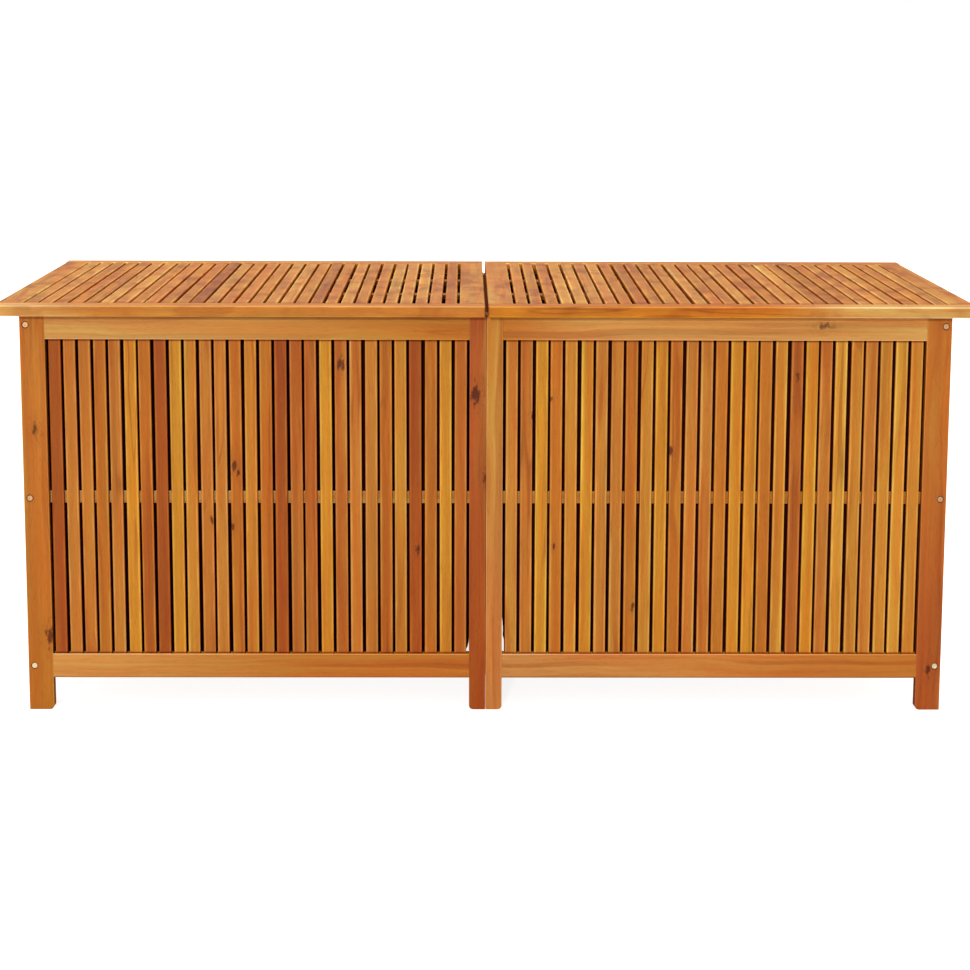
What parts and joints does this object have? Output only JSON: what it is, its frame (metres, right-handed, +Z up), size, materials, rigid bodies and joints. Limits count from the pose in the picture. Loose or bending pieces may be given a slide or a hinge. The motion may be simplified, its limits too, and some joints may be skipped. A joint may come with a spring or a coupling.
{
  "type": "deck storage box",
  "caption": "Long garden storage box of slatted hardwood on short legs, with side-by-side lids hinged at the rear and a fabric liner in each compartment.",
  "frame": {"origin": "on the ground, in the middle of the width and of the depth", "axes": "+X along the width, front faces -Y, +Z up"},
  "size_m": [1.75, 0.8, 0.75],
  "materials": {
    "frame_wood": "oiled",
    "slat_wood": "oiled",
    "lid_wood": "oiled",
    "lid_slat_wood": "oiled",
    "inner_wood": "oiled",
    "bolt_zinc": "zinc plated",
    "screw_steel": "zinc plated",
    "hinge_steel": "zinc plated",
    "stud_metal": "dark painted",
    "liner_fabric": "coated woven"
  },
  "bodies": {
    "body": {"front_left_corner_post": "frame_wood", "front_left_centre_post": "frame_wood", "front_left_top_rail": "frame_wood", "front_left_bottom_rail": "frame_wood", "front_left_batten": "inner_wood", "front_left_slats": "slat_wood", "front_right_corner_post": "frame_wood", "front_right_centre_post": "frame_wood", "front_right_top_rail": "frame_wood", "front_right_bottom_rail": "frame_wood", "front_right_batten": "inner_wood", "front_right_slats": "slat_wood", "rear_left_corner_post": "frame_wood", "rear_left_centre_post": "frame_wood", "rear_left_top_rail": "frame_wood", "rear_left_bottom_rail": "frame_wood", "rear_left_batten": "inner_wood", "rear_left_slats": "slat_wood", "rear_right_corner_post": "frame_wood", "rear_right_centre_post": "frame_wood", "rear_right_top_rail": "frame_wood", "rear_right_bottom_rail": "frame_wood", "rear_right_batten": "inner_wood", "rear_right_slats": "slat_wood", "left_end_stiles": "frame_wood", "left_end_rails": "frame_wood", "left_end_batten": "inner_wood", "left_end_slats": "slat_wood", "right_end_stiles": "frame_wood", "right_end_rails": "frame_wood", "right_end_batten": "inner_wood", "right_end_slats": "slat_wood", "centre_uprights": "inner_wood", "centre_beams": "inner_wood", "floor_cleats": "inner_wood", "floor_slats": "inner_wood", "corner_bolts": "bolt_zinc", "barrel_nuts": "bolt_zinc", "frame_screws": "screw_steel", "hinge_body_leaves": "hinge_steel", "hinge_body_screws": "screw_steel", "hinge_pins": "hinge_steel", "left_liner": "liner_fabric", "right_liner": "liner_fabric", "liner_studs": "stud_metal"},
    "left_lid": {"left_lid_front_rail": "lid_wood", "left_lid_rear_rail": "lid_wood", "left_lid_end_boards": "lid_wood", "left_lid_slats": "lid_slat_wood", "left_lid_battens": "inner_wood", "left_lid_hinge_leaves": "hinge_steel", "left_lid_hinge_screws": "screw_steel"},
    "right_lid": {"right_lid_front_rail": "lid_wood", "right_lid_rear_rail": "lid_wood", "right_lid_end_boards": "lid_wood", "right_lid_slats": "lid_slat_wood", "right_lid_battens": "inner_wood", "right_lid_hinge_leaves": "hinge_steel", "right_lid_hinge_screws": "screw_steel"}
  },
  "joints": [
    {"name": "left_lid_hinge", "type": "hinge", "parent": "body", "child": "left_lid", "pos_m": [-0.439, 0.3635, 0.7265], "axis": [-1, 0, 0], "range_deg": [0, 95]},
    {"name": "right_lid_hinge", "type": "hinge", "parent": "body", "child": "right_lid", "pos_m": [0.439, 0.3635, 0.7265], "axis": [-1, 0, 0], "range_deg": [0, 95]}
  ]
}
